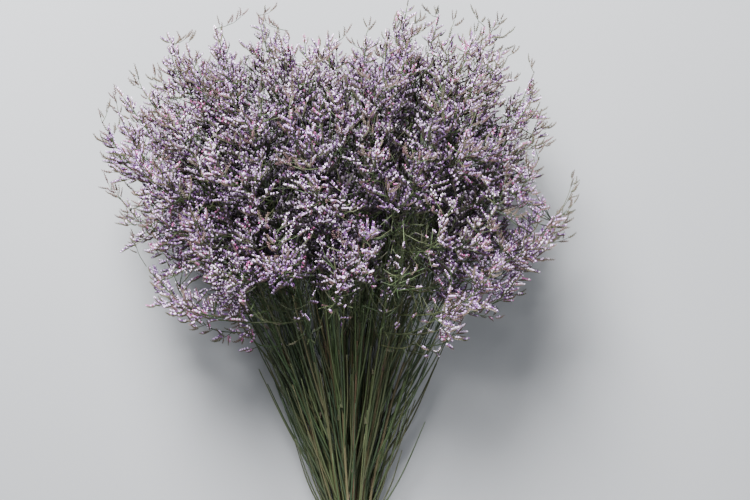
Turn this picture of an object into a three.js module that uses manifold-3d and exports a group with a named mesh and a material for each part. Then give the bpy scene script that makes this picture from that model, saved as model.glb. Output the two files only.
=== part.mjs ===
// A tied bunch of dried statice, lying on its side on a table.
// Millimetres. Y runs along the stems towards the flowers, X across them and Z up.
// While it is built the origin is on the table under the tie; at the end the bunch
// is moved so that the origin is at the middle of its footprint.
// Each stem is a bare stalk and, face to face with its top, a flower spray: the
// upper stem with its side branches and clusters of flower spikes, grown as one piece.

import * as THREE from "three";
import { mergeVertices } from "three/addons/utils/BufferGeometryUtils.js";
import Module from "manifold-3d";

// Stems
const STEM_COUNT = 28;
const CUT_END = { y: -62, uneven: 14 }; // below the tie, not trimmed level
const STALK_RADIUS = { cut: 2.5, tie: 2.4, top: 1.7 };
const STALK_SIDES = 5;
const STALK_BEND_Y = 130;
const BRANCHING = { inner: 350, earlier: 105, uneven: 30 }; // y where the flowers begin
const GAP = 0.3; // between touching pieces

// The fan of stems: half its width and height, and its middle, at a distance y from the tie
const TIE_HALF = { x: 22, z: 19 };
const FAN = { lean: 0.166, curve: 0.000476, flatten: 0.45, splay: 0.12 };
const MIDDLE_RISE = { start: 23, lean: 0.075, curve: 0.0003 };
const MIDDLE_ASIDE = 18; // at the tie; none at the middle of the head

// The tie: a flat band round the stems, flattened where it meets the table
const BAND = { innerX: 26.4, innerZ: 22.4, thick: 1.6, width: 11, middleZ: 23.4 };
const BAND_CURVE_STEPS = 12;

// The head of flowers: its outline from above, as radii about its middle every
// 22.5 degrees from +X towards +Y, and its height as it lies
const HEAD_MIDDLE = new THREE.Vector3(0, 470, 150);
const HEAD_RADII = [
  320, 315, 336, 298, 234, 284, 320, 338, 290, 272, 222, 170, 155, 170, 215, 270,
];
const HEAD_HALF_HEIGHT = 190;
const HEAD_BOX = new THREE.Box3(
  new THREE.Vector3(-330, 300, 0),
  new THREE.Vector3(330, 740, 348),
);
const STEM_REACH = { least: 0.9, more: 0.12 }; // how far out in the head the stems end
const FRINGE = 1.12; // how far the outermost spikes may stand out
const FILLED = { from: 0.5, thick: 0.84, inside: 0.5 }; // depths that branch tips fill
const UNDERSIDE = { below: 80, share: 0.5 }; // the side it lies on has fewer flowers
const SKIRT = 314; // no flowers nearer to the tie than this
const TIPS_APART = 42;

// Branches, and the spikes that stand on them like the teeth of a comb. Each spike is a
// cluster of flowers, larger than life.
const BRANCH_COUNT = 146;
const BRANCH = { root: 1.6, tip: 1.3, flare: 3, bulge: 0.1, straight: 105, longest: 210 };
const AXIS = { root: 1.8, tip: 1.3, pieces: 4 };
const SPIKE = { length: 52, belly: 7.8, bellyAt: 0.3, uneven: 0.24 };
const COMB = { spacing: 14, fan: [62, -62, 14, -34, 40], unevenTurn: 16 };
const LEAVING = { angle: 0.72, uneven: 0.24 }; // radians from the line that bears the spike
const ALONG_STEM = { first: 14, spacing: 33, fromTop: 80 }; // single spikes on the stem
const SPACING = 9; // between the places where branches leave a stem
const LOWEST = { tip: 0, end: 8 }; // the lowest spikes touch the table with their tips
const CLEARANCE = { share: 1.07, gap: 0.8, own: 0.95 }; // own: to pieces of the same stem
const BARE = -1; // the owner of bare stalks: every flower keeps clear of them
const UP = new THREE.Vector3(0, 1, 0); // the way the plant grew
const DOWN = new THREE.Vector3(0, 0, -1);
const SEED = { stems: 20417, tips: 20517, alongStems: 20497, tops: 20467, combs: 25617 };

const wasm = await Module();
wasm.setup();

// A repeatable stream of numbers from 0 to 1
function seeded(seed) {
  let state = seed >>> 0;
  return () => {
    state = (state + 0x6d2b79f5) >>> 0;
    let t = state;
    t = Math.imul(t ^ (t >>> 15), t | 1);
    t ^= t + Math.imul(t ^ (t >>> 7), t | 61);
    return ((t ^ (t >>> 14)) >>> 0) / 4294967296;
  };
}

// Point number i of a sequence that fills 0 to 1 evenly
function evenly(i, base) {
  let value = 0;
  for (let n = i, share = 1 / base; n > 0; n = Math.floor(n / base), share /= base)
    value += (n % base) * share;
  return value;
}

// Where stem number i stands in the bundle, as a sunflower packs its seeds
function placeInBundle(i) {
  const r = Math.sqrt((i + 0.5) / STEM_COUNT);
  const turn = i * Math.PI * (3 - Math.sqrt(5));
  return { u: r * Math.cos(turn), v: r * Math.sin(turn), r };
}

// A point of a stem's middle line, at a distance y from the tie
function stemPoint(place, y) {
  const up = Math.max(y, 0);
  const spread = FAN.lean * up + FAN.curve * up * up;
  const splay = FAN.splay * Math.max(-y, 0);
  const aside = MIDDLE_ASIDE * (1 - y / HEAD_MIDDLE.y);
  const rise = MIDDLE_RISE.start + MIDDLE_RISE.lean * up + MIDDLE_RISE.curve * up * up;
  return new THREE.Vector3(
    aside + place.u * (TIE_HALF.x + spread + splay),
    y,
    rise + place.v * (TIE_HALF.z + FAN.flatten * spread),
  );
}

// How far out in the head a point lies: 0 in its middle, 1 on its surface
function depthInHead(p) {
  const dx = p.x - HEAD_MIDDLE.x;
  const dy = p.y - HEAD_MIDDLE.y;
  const steps = HEAD_RADII.length;
  const at = ((Math.atan2(dy, dx) / (2 * Math.PI) + 1) % 1) * steps;
  const i = Math.floor(at);
  const ease = (1 - Math.cos(Math.PI * (at - i))) / 2;
  const radius =
    HEAD_RADII[i % steps] * (1 - ease) + HEAD_RADII[(i + 1) % steps] * ease;
  return Math.hypot(
    Math.hypot(dx, dy) / radius,
    (p.z - HEAD_MIDDLE.z) / HEAD_HALF_HEIGHT,
  );
}

// The stems: where each leaves its bare stalk and where its tip is
function layStems() {
  const stems = [];
  for (let i = 0; i < STEM_COUNT; i++) {
    const random = seeded(SEED.stems + i);
    const place = placeInBundle(i);
    const early = BRANCHING.earlier * place.r;
    const branching = BRANCHING.inner - early + BRANCHING.uneven * random();
    const reach = STEM_REACH.least + STEM_REACH.more * random();
    let tip = HEAD_BOX.max.y + 20;
    while (depthInHead(stemPoint(place, tip)) > reach) tip -= 2;
    const cut = CUT_END.y + CUT_END.uneven * random();
    const end = tip - SPIKE.length;
    stems.push({ i, place, branching, tip, end, cut, limbs: [], used: [] });
  }
  return stems;
}

// Point number i of a spread of points that fills the outer part of the head evenly
function branchTip(i) {
  const size = HEAD_BOX.getSize(new THREE.Vector3());
  const p = new THREE.Vector3(evenly(i, 2), evenly(i, 3), evenly(i, 5));
  p.multiply(size).add(HEAD_BOX.min);
  const depth = depthInHead(p);
  let chance = depth < FILLED.thick ? FILLED.inside : 1;
  if (p.z < UNDERSIDE.below) chance *= UNDERSIDE.share;
  const wanted = depth > FILLED.from && depth < 1 && seeded(SEED.tips + i)() < chance;
  return wanted ? p : null;
}

// The places nearest to each other on two straight pieces, a to b and c to d
function nearestPlaces(a, b, c, d) {
  const u = b.clone().sub(a);
  const v = d.clone().sub(c);
  const w = a.clone().sub(c);
  const uu = u.dot(u);
  const uv = u.dot(v);
  const vv = v.dot(v);
  const uw = u.dot(w);
  const vw = v.dot(w);
  const clamp = (x) => Math.min(1, Math.max(0, x));
  const across = uu * vv - uv * uv;
  let s = across > 1e-9 * uu * vv ? clamp((uv * vw - vv * uw) / across) : 0;
  const t = clamp((uv * s + vw) / vv);
  s = clamp((uv * t - uw) / uu);
  return { s, t, apart: w.addScaledVector(u, s).addScaledVector(v, -t).length() };
}

// What is already there, as straight tapered pieces
const taken = [];

// Nothing runs through another piece, but what leaves a stem or branch may pass close to
// the roots of its neighbours on the same stem
function isClear(piece) {
  return taken.every((other) => {
    const own = other.owner === piece.owner;
    if (own && (piece.isRoot || other.isRoot)) return true;
    const { s, t, apart } = nearestPlaces(piece.a, piece.b, other.a, other.b);
    const mine = piece.ra + (piece.rb - piece.ra) * s;
    const theirs = other.ra + (other.rb - other.ra) * t;
    if (own) return apart > CLEARANCE.own * (mine + theirs);
    return apart > CLEARANCE.share * (mine + theirs) + CLEARANCE.gap;
  });
}

// The straight pieces of a line of points with a radius at each. The first ones are roots.
function piecesOf(owner, points, radii, roots) {
  const pieces = [];
  for (let k = 1; k < points.length; k++) {
    const [a, b] = [points[k - 1], points[k]];
    pieces.push({ owner, a, b, ra: radii[k - 1], rb: radii[k], isRoot: k <= roots });
  }
  return pieces;
}

function stemLine(stem, from, to, pieces) {
  const points = [];
  for (let k = 0; k <= pieces; k++)
    points.push(stemPoint(stem.place, from + ((to - from) * k) / pieces));
  return points;
}

// The point of a stem's flowering length at a distance y from the tie
function onAxis(stem, y) {
  const pieces = stem.axis.length - 1;
  const along = (pieces * (y - stem.branching)) / (stem.end - stem.branching);
  const k = Math.min(Math.floor(along), pieces - 1);
  return stem.axis[k].clone().lerp(stem.axis[k + 1], along - k);
}

// Where a branch for the point p leaves a stem: a little before the place nearest to p,
// so that it leaves at about 45 degrees, and apart from what leaves the stem already
function leavingPlace(stem, p) {
  const length = stem.end - stem.branching;
  const steps = 24;
  let near = { distance: Infinity, y: 0 };
  for (let k = 0; k <= steps; k++) {
    const y = stem.branching + (length * k) / steps;
    const distance = onAxis(stem, y).distanceTo(p);
    if (distance < near.distance) near = { distance, y };
  }
  const first = stem.branching + SPACING;
  const wish = Math.max(first, near.y - near.distance);
  for (let k = 0; k < 12; k++) {
    const y = wish + (k % 2 ? -1 : 1) * Math.ceil(k / 2) * 0.5 * SPACING;
    const apart = stem.used.every((other) => Math.abs(y - other) > SPACING);
    if (y >= first && y < stem.end - SPACING && apart) return { y, distance: near.distance };
  }
  return { y: 0, distance: Infinity };
}

// Adds a piece of the plant to its stem, unless something is in its way
function tryToGrow(stem, points, radii, roots) {
  const pieces = piecesOf(stem.i, points, radii, roots);
  const onTable = points.every((p, k) => p.z >= radii[k] - 1e-6);
  if (!onTable || !pieces.every(isClear)) return false;
  taken.push(...pieces);
  stem.limbs.push({ points, radii });
  return true;
}

function spikeLine(root, tip) {
  return [root.clone().lerp(tip, SPIKE.bellyAt), tip];
}

// A side branch that arches from the stem and ends in a spike with its tip at p
function tryToGrowBranch(stem, y, p) {
  const at = onAxis(stem, y);
  const last = p.clone().sub(at).normalize().multiplyScalar(0.8).addScaledVector(UP, 0.5);
  const end = p.clone().addScaledVector(last.normalize(), -SPIKE.length);
  end.z = Math.max(end.z, LOWEST.end);
  const reach = at.distanceTo(end);
  if (reach < 2 * COMB.spacing) return null;
  const line = [at, end];
  if (reach > BRANCH.straight) {
    const middle = at.clone().lerp(end, 0.5).addScaledVector(UP, -BRANCH.bulge * reach);
    line.splice(1, 0, middle);
  }
  const flare = at.clone().lerp(line[1], BRANCH.flare / at.distanceTo(line[1]));
  const points = [at, flare, ...line.slice(1), ...spikeLine(end, p)];
  const radii = [0, ...line.map(() => BRANCH.root), SPIKE.belly, 0];
  radii[line.length] = BRANCH.tip;
  return tryToGrow(stem, points, radii, 2) ? line : null;
}

// The way from the middle of the head outwards, square to a given way
function outwards(p, along) {
  const out = p.clone().sub(HEAD_MIDDLE);
  return out.addScaledVector(along, -out.dot(along)).normalize();
}

// A spike that leaves a line at root. It is turned from the line's outer side by some
// degrees, and leans away from the line by an angle.
function growSpike(stem, root, along, turnDegrees, random) {
  const out = outwards(root, along);
  const aside = along.clone().cross(out);
  const turn = ((turnDegrees + COMB.unevenTurn * (random() - 0.5)) * Math.PI) / 180;
  const leaving = LEAVING.angle * (1 + LEAVING.uneven * (random() - 0.5));
  const length = SPIKE.length * (1 + SPIKE.uneven * (random() - 0.6));
  const way = along.clone().multiplyScalar(Math.cos(leaving));
  way.addScaledVector(out, Math.sin(leaving) * Math.cos(turn));
  way.addScaledVector(aside, Math.sin(leaving) * Math.sin(turn));
  const tip = root.clone().addScaledVector(way, length);
  tip.z = Math.max(tip.z, LOWEST.tip);
  if (depthInHead(tip) < FRINGE && root.y > SKIRT && tip.y > SKIRT)
    tryToGrow(stem, [root, ...spikeLine(root, tip)], [0, SPIKE.belly, 0], 1);
}

// Spikes along the last part of a line, fanned out on its outer side
function growComb(stem, line, random) {
  const [before, end] = line.slice(-2);
  const along = end.clone().sub(before).normalize();
  const room = before.distanceTo(end) - BRANCH.flare;
  const turned = random() < 0.5 ? -1 : 1;
  COMB.fan.forEach((turn, k) => {
    const back = COMB.spacing * (k + 0.6 + 0.3 * random());
    if (back > room) return;
    const root = end.clone().addScaledVector(along, -back);
    growSpike(stem, root, along, turn * turned, random);
  });
}

// Single spikes on the stem itself, between its branches
function growAlongStem(stem, random) {
  const start = stem.branching + ALONG_STEM.first;
  const count = Math.floor((stem.end - ALONG_STEM.fromTop - start) / ALONG_STEM.spacing);
  for (let k = 0; k <= count; k++) {
    const y = start + k * ALONG_STEM.spacing;
    const root = onAxis(stem, y);
    const along = onAxis(stem, y + 1).sub(root).normalize();
    const free = stem.used.every((other) => Math.abs(y - other) > 0.5 * SPACING);
    if (free) growSpike(stem, root, along, COMB.fan[k % COMB.fan.length], random);
  }
}

// Branches for evenly spread tips, each from the nearest stem that has room for it
function growHead(stems) {
  const tips = [];
  for (let i = 1; tips.length < BRANCH_COUNT && i < 40 * BRANCH_COUNT; i++) {
    const p = branchTip(i);
    if (!p || tips.some((other) => other.distanceTo(p) < TIPS_APART)) continue;
    const near = stems.map((stem) => ({ stem, ...leavingPlace(stem, p) }));
    near.sort((a, b) => a.distance - b.distance);
    for (const { stem, y, distance } of near.slice(0, 4)) {
      const line = distance < BRANCH.longest && tryToGrowBranch(stem, y, p);
      if (!line) continue;
      stem.used.push(y);
      growComb(stem, line, seeded(SEED.combs + i));
      tips.push(p);
      break;
    }
  }
}

// How a line's sides face at each of its points, without twisting on the way
function framesAlong(points) {
  let side = DOWN;
  return points.map((point, k) => {
    const before = points[Math.max(k - 1, 0)];
    const after = points[Math.min(k + 1, points.length - 1)];
    const along = after.clone().sub(before).normalize();
    side = side.clone().addScaledVector(along, -side.dot(along)).normalize();
    return { side, other: along.clone().cross(side) };
  });
}

// A closed piece with a few sides that follows a line of points, with a radius at each.
// It is turned upright, with ring k at height k, and each ring then moves to its point.
// A radius of nought at an end makes that end sharp.
function limb({ points, radii }, sides) {
  const profile = points.map((_, k) => new THREE.Vector2(radii[k], k));
  if (radii[0] > 0) profile.unshift(new THREE.Vector2(0, 0));
  if (radii.at(-1) > 0) profile.push(new THREE.Vector2(0, points.length - 1));
  const shape = new THREE.LatheGeometry(profile, sides);
  const frames = framesAlong(points);
  const position = shape.getAttribute("position");
  for (let n = 0; n < position.count; n++) {
    const k = Math.round(position.getY(n));
    const p = points[k].clone();
    p.addScaledVector(frames[k].side, position.getZ(n));
    p.addScaledVector(frames[k].other, position.getX(n));
    position.setXYZ(n, p.x, p.y, p.z);
  }
  return shape;
}

// A closed geometry as a solid that can be joined
function solid(geometry) {
  const bare = geometry.clone();
  bare.deleteAttribute("normal");
  bare.deleteAttribute("uv");
  const merged = mergeVertices(bare, 1e-4);
  const triangles = [];
  for (let n = 0; n < merged.index.count; n += 3) {
    const [a, b, c] = merged.index.array.slice(n, n + 3);
    if (a !== b && b !== c && c !== a) triangles.push(a, b, c);
  }
  return new wasm.Manifold(
    new wasm.Mesh({
      numProp: 3,
      vertProperties: merged.attributes.position.array,
      triVerts: new Uint32Array(triangles),
    }),
  );
}

// Several closed geometries joined in one, for a mesh
function joined(geometries) {
  const mesh = wasm.Manifold.union(geometries.map(solid)).getMesh();
  const geometry = new THREE.BufferGeometry();
  const position = new Float32Array(mesh.vertProperties);
  geometry.setAttribute("position", new THREE.BufferAttribute(position, 3));
  geometry.setIndex(new THREE.BufferAttribute(new Uint32Array(mesh.triVerts), 1));
  return geometry;
}

// The bare stalk, from its cut end through the tie to the first flowers
function stalkGeometry(stem) {
  const stops = [stem.cut, 0, STALK_BEND_Y, stem.branching - GAP];
  const points = stops.map((y) => stemPoint(stem.place, y));
  const { cut, tie, top } = STALK_RADIUS;
  const radii = [cut, tie, (tie + top) / 2, top];
  return joined([limb({ points, radii }, STALK_SIDES)]);
}

// The stem's upper part with the spike that it ends in
function growAxis(stem) {
  const tip = stemPoint(stem.place, stem.tip);
  const points = [...stem.axis, ...spikeLine(stem.axis.at(-1), tip)];
  const thinning = (AXIS.tip - AXIS.root) / AXIS.pieces;
  const radii = [...stem.axis.map((_, k) => AXIS.root + thinning * k), SPIKE.belly, 0];
  taken.push(...piecesOf(stem.i, points, radii, 0));
  stem.limbs.push({ points, radii });
}

// The flowering top: the stem's upper part, its branches and its spikes in one piece
function sprayGeometry(stem) {
  return joined(stem.limbs.map((piece) => limb(piece, 3)));
}

// The band: an oval ring round the stems, cut flat by the table underneath
function bandGeometry() {
  const outerX = BAND.innerX + BAND.thick;
  const outerZ = BAND.innerZ + BAND.thick;
  const [x, z] = [MIDDLE_ASIDE, BAND.middleZ];
  const foot = Math.asin(z / outerZ);
  const outline = new THREE.Shape();
  outline.absellipse(x, z, outerX, outerZ, -foot, Math.PI + foot, false, 0);
  const opening = new THREE.Path();
  opening.absellipse(x, z, BAND.innerX, BAND.innerZ, 0, 2 * Math.PI, true, 0);
  outline.holes.push(opening);
  const band = new THREE.ExtrudeGeometry(outline, {
    depth: BAND.width,
    bevelEnabled: false,
    curveSegments: BAND_CURVE_STEPS,
  });
  return band.rotateX(Math.PI / 2).translate(0, BAND.width / 2, 0);
}

const stalkMaterial = new THREE.MeshStandardMaterial({
  color: new THREE.Color(0.1, 0.14, 0.07),
  roughness: 0.75,
  metalness: 0,
});
const flowerMaterial = new THREE.MeshStandardMaterial({
  color: new THREE.Color(0.46, 0.33, 0.5),
  roughness: 0.9,
  metalness: 0,
});
const bandMaterial = new THREE.MeshStandardMaterial({
  color: new THREE.Color(0.52, 0.36, 0.2),
  roughness: 0.6,
  metalness: 0,
});

function named(name, geometry, material) {
  const mesh = new THREE.Mesh(geometry, material);
  mesh.name = name;
  return mesh;
}

// The stems come first, so that what grows from one keeps clear of the others
const stems = layStems();
for (const stem of stems) {
  stem.axis = stemLine(stem, stem.branching, stem.end, AXIS.pieces);
  const stalk = [stemPoint(stem.place, stem.cut), ...stemLine(stem, 0, stem.branching, 5)];
  const radii = stalk.map(() => STALK_RADIUS.cut);
  taken.push(...piecesOf(BARE, stalk, radii, 0));
  growAxis(stem);
}
for (const stem of stems) growComb(stem, stem.axis, seeded(SEED.tops + stem.i));
growHead(stems);
for (const stem of stems) growAlongStem(stem, seeded(SEED.alongStems + stem.i));

const bunch = new THREE.Group();
for (const stem of stems) {
  const number = String(stem.i + 1).padStart(2, "0");
  bunch.add(named("stalk_" + number, stalkGeometry(stem), stalkMaterial));
  bunch.add(named("spray_" + number, sprayGeometry(stem), flowerMaterial));
}
bunch.add(named("tie_band", bandGeometry(), bandMaterial));

// The origin goes to the middle of the footprint, on the table
const box = new THREE.Box3().setFromObject(bunch, true);
const middle = box.getCenter(new THREE.Vector3());
bunch.position.set(-middle.x, -middle.y, -box.min.z);

export default bunch;
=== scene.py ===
"""The looks of the tied bunch of dried statice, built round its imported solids.

The stems, branches and large spikes grow here by the same rules and seeded draws as
the solids do, in millimetres. Each large spike then becomes a twig of real flower
spikes, each branch a thin green line and each stalk a ribbed stem.
"""

import math

import bpy
import numpy as np
from mathutils import Euler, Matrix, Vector


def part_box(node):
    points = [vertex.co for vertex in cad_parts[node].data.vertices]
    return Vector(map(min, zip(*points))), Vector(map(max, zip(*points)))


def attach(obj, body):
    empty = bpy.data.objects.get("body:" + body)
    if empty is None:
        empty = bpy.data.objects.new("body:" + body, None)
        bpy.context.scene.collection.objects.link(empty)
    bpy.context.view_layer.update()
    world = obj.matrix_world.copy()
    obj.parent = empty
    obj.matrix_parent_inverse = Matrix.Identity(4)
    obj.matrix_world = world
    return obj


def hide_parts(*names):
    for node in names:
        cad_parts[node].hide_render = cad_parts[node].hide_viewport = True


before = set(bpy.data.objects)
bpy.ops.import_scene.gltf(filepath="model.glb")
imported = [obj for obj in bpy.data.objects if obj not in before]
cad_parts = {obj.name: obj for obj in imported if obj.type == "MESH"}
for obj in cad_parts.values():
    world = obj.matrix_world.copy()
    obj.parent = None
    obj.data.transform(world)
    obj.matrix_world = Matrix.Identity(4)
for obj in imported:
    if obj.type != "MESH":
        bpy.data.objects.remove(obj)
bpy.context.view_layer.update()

# How the bunch grows, in millimetres, with the same values as the solids. The origin is
# on the floor under the tie, Y runs along the stems, X across them and Z up.
STEM_COUNT = 28
CUT_END_Y = -62
CUT_END_UNEVEN = 14
STALK_RADIUS = {"cut": 2.5, "tie": 2.4, "top": 1.7}
BRANCHING = {"inner": 350, "earlier": 105, "uneven": 30}
GAP = 0.3
TIE_HALF = {"x": 22, "z": 19}
FAN = {"lean": 0.166, "curve": 0.000476, "flatten": 0.45, "splay": 0.12}
MIDDLE_RISE = {"start": 23, "lean": 0.075, "curve": 0.0003}
MIDDLE_ASIDE = 18
BAND = {"inner_x": 26.4, "inner_z": 22.4, "thick": 1.6, "width": 11, "middle_z": 23.4}
HEAD_MIDDLE = np.array([0.0, 470.0, 150.0])
HEAD_RADII = [
    320, 315, 336, 298, 234, 284, 320, 338, 290, 272, 222, 170, 155, 170, 215, 270,
]
HEAD_HALF_HEIGHT = 190
HEAD_LOW = np.array([-330.0, 300.0, 0.0])
HEAD_HIGH = np.array([330.0, 740.0, 348.0])
STEM_REACH = {"least": 0.9, "more": 0.12}
FRINGE = 1.12
FILLED = {"from": 0.5, "thick": 0.84, "inside": 0.5}
UNDERSIDE = {"below": 80, "share": 0.5}
SKIRT = 314
TIPS_APART = 42
BRANCH_COUNT = 146
BRANCH = {
    "root": 1.6, "tip": 1.3, "flare": 3, "bulge": 0.1, "straight": 105, "longest": 210,
}
AXIS = {"root": 1.8, "tip": 1.3, "pieces": 4}
LARGE_SPIKE = {"length": 52, "belly": 7.8, "belly_at": 0.3, "uneven": 0.24}
COMB = {"spacing": 14, "fan": [62, -62, 14, -34, 40], "uneven_turn": 16}
LEAVING = {"angle": 0.72, "uneven": 0.24}
ALONG_STEM = {"first": 14, "spacing": 33, "from_top": 80}
SPACING = 9
LOWEST = {"tip": 0, "end": 8}
CLEARANCE = {"share": 1.07, "gap": 0.8, "own": 0.95}
BARE = -1
UP = np.array([0.0, 1.0, 0.0])
SEED = {"stems": 20417, "tips": 20517, "along_stems": 20497, "tops": 20467, "combs": 25617}
WORD = 0xFFFFFFFF

# The fine stalks, branches and twigs, in millimetres
MM = 0.001
FINE_SEEDS = {"shapes": 7310, "band": 7319, "sprays": 7410, "stalks": 7510}
LOWEST_POINT = 0.05
AXIS_RADIUS = (1.7, 0.7)
BRANCH_RADIUS = (1.0, 0.5)
TWIG_RADIUS = (0.6, 0.35)
TWIG_BOW = 0.07
SHORT_TWIG = {
    "length": 30, "on_branch": 14, "on_axis": 17, "first": 14, "lean": 0.85, "bow": 1.6, "bare": 5,
}
# The wire's shade darkens its twig colour as painted shade, for the shade inside the head where
# wires grow
WIRE = {
    "radius": (0.8, 0.35), "length": 68, "on_branch": 26, "on_axis": 7, "first": 2.0, "lean": 0.5,
    "lowest": 4, "reach": 0.86, "shade": 0.8,
}
FILL = {
    "tries": 5600, "from": 0.1, "to": 0.88, "above": 300, "shortest": 12, "longest": 95,
    "spacing": 10, "bow": 0.1, "bare": 0.4, "dressed": 34,
}
SPRIG = {
    "tries": 2200, "from": 0.96, "to": 1.03, "above": 430, "shortest": 20, "longest": 75,
    "spacing": 7, "bow": 0.12, "bare": 0.2, "dressed": 36,
}
TARGET = {"lowest": 6, "above_root": 10, "cost": 0.8}
SHOOT = {
    "count": 14, "radius": (1.4, 0.7), "from": 0.2, "to": 0.98, "length": 145, "bow": 3,
    "aside": 1.6, "flatten": 0.6,
}
STALK = {"points": 48, "sides": 10, "rib": 0.07, "slim": 0.94, "sway": 0.5, "sway_length": 23}
SCALE_LEAF = {"first": 60, "spacing": 42, "from_top": 15, "out": 1.2, "lean": 0.28, "size": 2.6}
BAND_TURN = {"count": 5, "half": 0.8, "uneven": 0.25, "crossing": 0.36, "lift": 0.6}

# The real spikes and their flowers, in millimetres
REAL_SPIKE = {
    "length": 18, "spacing": 5.2, "lean": 0.8, "turn": 0.85, "sunk": 0.85, "twig_stops": 0.8,
}
SPIKE_FORM = {"straight_at": 0.35, "bare": 0.16, "uneven": 0.16}
# How many shapes of a kind, flowers on each, share opened, first bend and bend to the next
SPIKE_KINDS = {
    "open": (6, 11, 1.1, -0.5, 0.42),
    "half": (4, 10, 0.55, 0.1, 0.4),
    "closed": (3, 9, 0.0, 0.2, 0.4),
    "inner": (4, 6, 1.1, -0.2, 0.4),
}
FLOWER_SIZE = {"first": 1.08, "less": 0.4}
FLORET = {"length": 3.3, "mouth": 1.2, "throat": 0.66}
BRACT = {"length": 3.2, "radius": 0.9}
BUD = {"length": 2.9, "radius": 0.9}
BODY = 1.1
CLOSED_BODY = 0.6 * BODY
ASKEW = (0.31, 0.17, 0.93)

# Where in the head the flowers are plain, darkened as painted shade, green, closed or missing
CORE = 0.7
UNDERNEATH = 55
INNER_SIZE = 1.55
# Painted shade: the colours are darkened with depth in the head, for the shade inside the dense
# head
INNER_PAINTED_SHADE = {"from": 0.92, "slope": 2.3, "least": 0.1}
GREEN_PATCHES = [(96, 557), (-64, 524), (35, 500), (-77, 563), (150, 470), (-150, 600)]
GREEN_PATCH = {"radius": 21, "above": 150}
GREEN_EDGE = {"from": 0.86, "slope": 2.2}
GREEN_CORNER = {"from": 640, "width": 160, "share": 0.5}
CLOSED_SHARE = {"least": 0.05, "more": 0.42}
UNOPENED_SHARE = {"least": 0.25, "more": 0.6}
CLOSED_SHADE = 0.75
FADED = {"middle": 0.45, "swing": 0.5, "x": 34, "y": 29}
BRIGHT_SHARE = 0.42
PINK_SHARE = 0.1
BARE_FRONT = {"missing": 0.9, "size": 0.75}
# Where the stems show: between two x, below a y and above a z
BARE_PARTS = [(-112, 136, 368, -math.inf), (50, 130, 460, 100)]

# What the picture takes in: its width and the camera's distance in metres, the lens and
# the picture's middle in millimetres
PICTURE_WIDTH = 0.9975
CAMERA_DISTANCE = 2.2
CAMERA_LENS = 50.0
PICTURE_MIDDLE = Vector((52, 414, 150))

# Where the lights are aimed, in metres, and what surrounds the bunch
LIT_SPOT = Vector((0, 0.1, 0.1))
SURROUND = {"colour": (0.93, 0.96, 1, 1), "strength": 0.22}


def seeded(seed):
    """A repeatable stream of numbers from 0 to 1."""
    state = seed

    def draw():
        nonlocal state
        state = (state + 0x6D2B79F5) & WORD
        t = ((state ^ state >> 15) * (state | 1)) & WORD
        t ^= (t + (t ^ t >> 7) * (t | 61)) & WORD
        return (t ^ t >> 14) / (WORD + 1)

    return draw


def evenly(i, base):
    """Point number i of a sequence that fills 0 to 1 evenly."""
    value = 0.0
    share = 1 / base
    while i > 0:
        value += (i % base) * share
        i //= base
        share /= base
    return value


def unit(v):
    return v / np.linalg.norm(v)


def lerp(a, b, t):
    return a + (b - a) * t


def distance(a, b):
    return float(np.linalg.norm(a - b))


def place_in_bundle(i):
    """Where stem number i stands in the bundle, as a sunflower packs its seeds."""
    r = math.sqrt((i + 0.5) / STEM_COUNT)
    turn = i * math.pi * (3 - math.sqrt(5))
    return r * math.cos(turn), r * math.sin(turn), r


def stem_point(place, y):
    """A point of a stem's middle line, at a distance y from the tie."""
    up = max(y, 0)
    spread = FAN["lean"] * up + FAN["curve"] * up * up
    splay = FAN["splay"] * max(-y, 0)
    aside = MIDDLE_ASIDE * (1 - y / HEAD_MIDDLE[1])
    rise = MIDDLE_RISE["start"] + MIDDLE_RISE["lean"] * up + MIDDLE_RISE["curve"] * up * up
    return np.array([
        aside + place[0] * (TIE_HALF["x"] + spread + splay),
        y,
        rise + place[1] * (TIE_HALF["z"] + FAN["flatten"] * spread),
    ])


def depth_in_head(p):
    """How far out in the head a point lies: 0 in its middle, 1 on its surface."""
    dx = p[0] - HEAD_MIDDLE[0]
    dy = p[1] - HEAD_MIDDLE[1]
    steps = len(HEAD_RADII)
    at = ((math.atan2(dy, dx) / (2 * math.pi) + 1) % 1) * steps
    i = math.floor(at)
    ease = (1 - math.cos(math.pi * (at - i))) / 2
    radius = HEAD_RADII[i % steps] * (1 - ease) + HEAD_RADII[(i + 1) % steps] * ease
    flat = math.hypot(dx, dy) / radius
    return math.hypot(flat, (p[2] - HEAD_MIDDLE[2]) / HEAD_HALF_HEIGHT)


def stem_line(place, start, stop, pieces):
    return [stem_point(place, start + (stop - start) * k / pieces) for k in range(pieces + 1)]


class Stem:
    """A stem: where it leaves its bare stalk, where its tip is, and what grows on it."""

    def __init__(self, i):
        random = seeded(SEED["stems"] + i)
        self.i = i
        self.place = place_in_bundle(i)
        early = BRANCHING["earlier"] * self.place[2]
        self.branching = BRANCHING["inner"] - early + BRANCHING["uneven"] * random()
        reach = STEM_REACH["least"] + STEM_REACH["more"] * random()
        self.tip = HEAD_HIGH[1] + 20
        while depth_in_head(stem_point(self.place, self.tip)) > reach:
            self.tip -= 2
        self.cut = CUT_END_Y + CUT_END_UNEVEN * random()
        self.end = self.tip - LARGE_SPIKE["length"]
        self.axis = stem_line(self.place, self.branching, self.end, AXIS["pieces"])
        self.used = []
        self.branches = []
        self.spikes = []

    def on_axis(self, y):
        """The point of the flowering length at a distance y from the tie."""
        pieces = len(self.axis) - 1
        along = pieces * (y - self.branching) / (self.end - self.branching)
        k = min(math.floor(along), pieces - 1)
        return lerp(self.axis[k], self.axis[k + 1], along - k)


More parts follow.
